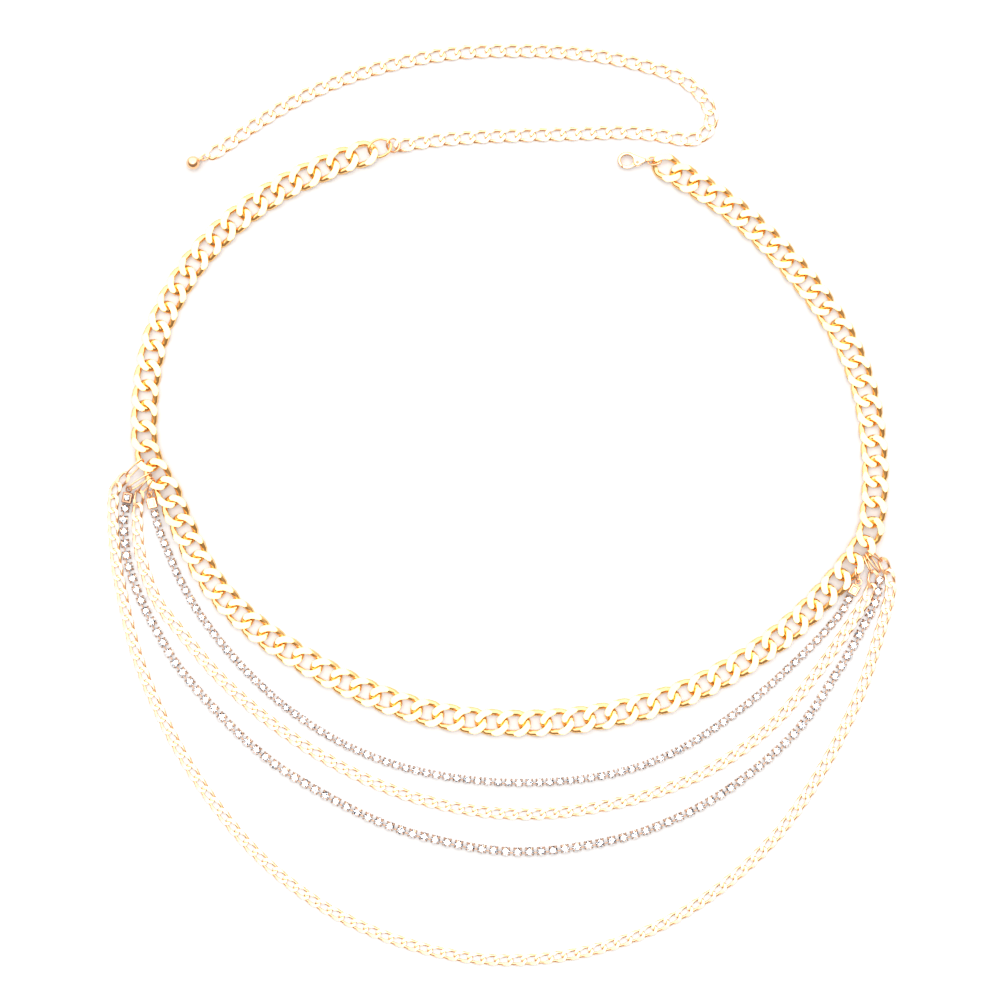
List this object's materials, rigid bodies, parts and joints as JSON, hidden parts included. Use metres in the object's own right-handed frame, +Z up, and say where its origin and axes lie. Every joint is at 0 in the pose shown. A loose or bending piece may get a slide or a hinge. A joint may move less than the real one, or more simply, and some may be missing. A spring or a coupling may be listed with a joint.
{
  "type": "layered body chain",
  "caption": "Body chain of a heavy curb chain with extender and lobster clasp, carrying two stone-set strands and two finer curb chains.",
  "frame": {"origin": "on the surface that the piece lies on, under the middle of its bounding box", "axes": "+Z up from the surface, +Y from the lowest strand towards the clasp and extender, +X to the right as seen from above"},
  "size_m": [0.3143, 0.3679, 0.0068],
  "materials": {
    "gold": "polished yellow gold plating",
    "pale_gold": "polished pale gold plating",
    "stones": "clear faceted stones in prong cups"
  },
  "bodies": {
    "chain": {"main_chain_right": "gold", "main_chain_left": "gold", "end_link": "gold", "extender_first_link": "pale_gold", "extender_chain": "pale_gold", "extender_end_ring": "pale_gold", "extender_ball": "pale_gold", "clasp_ring": "pale_gold", "clasp_body": "pale_gold", "hanger_curb_outer_left": "pale_gold", "hanger_stone_outer_left": "pale_gold", "hanger_curb_inner_left": "pale_gold", "hanger_stone_inner_left": "pale_gold", "hanger_curb_outer_right": "pale_gold", "hanger_stone_outer_right": "pale_gold", "hanger_curb_inner_right": "pale_gold", "hanger_stone_inner_right": "pale_gold", "cup_inner_left": "pale_gold", "cup_inner_right": "pale_gold", "cup_outer_left": "pale_gold", "curb_strand_inner": "pale_gold", "curb_strand_outer": "pale_gold", "stone_strand_inner": "stones", "stone_strand_outer": "stones"},
    "lever": {"clasp_lever": "pale_gold"}
  },
  "joints": [
    {"name": "lever_hinge", "type": "hinge", "parent": "chain", "child": "lever", "pos_m": [0.05405, 0.1373, 0.0012], "axis": [0, 0, -1], "range_deg": [0, 22], "stiffness_Nm_per_rad": 0.01, "springref_deg": -20.05}
  ]
}
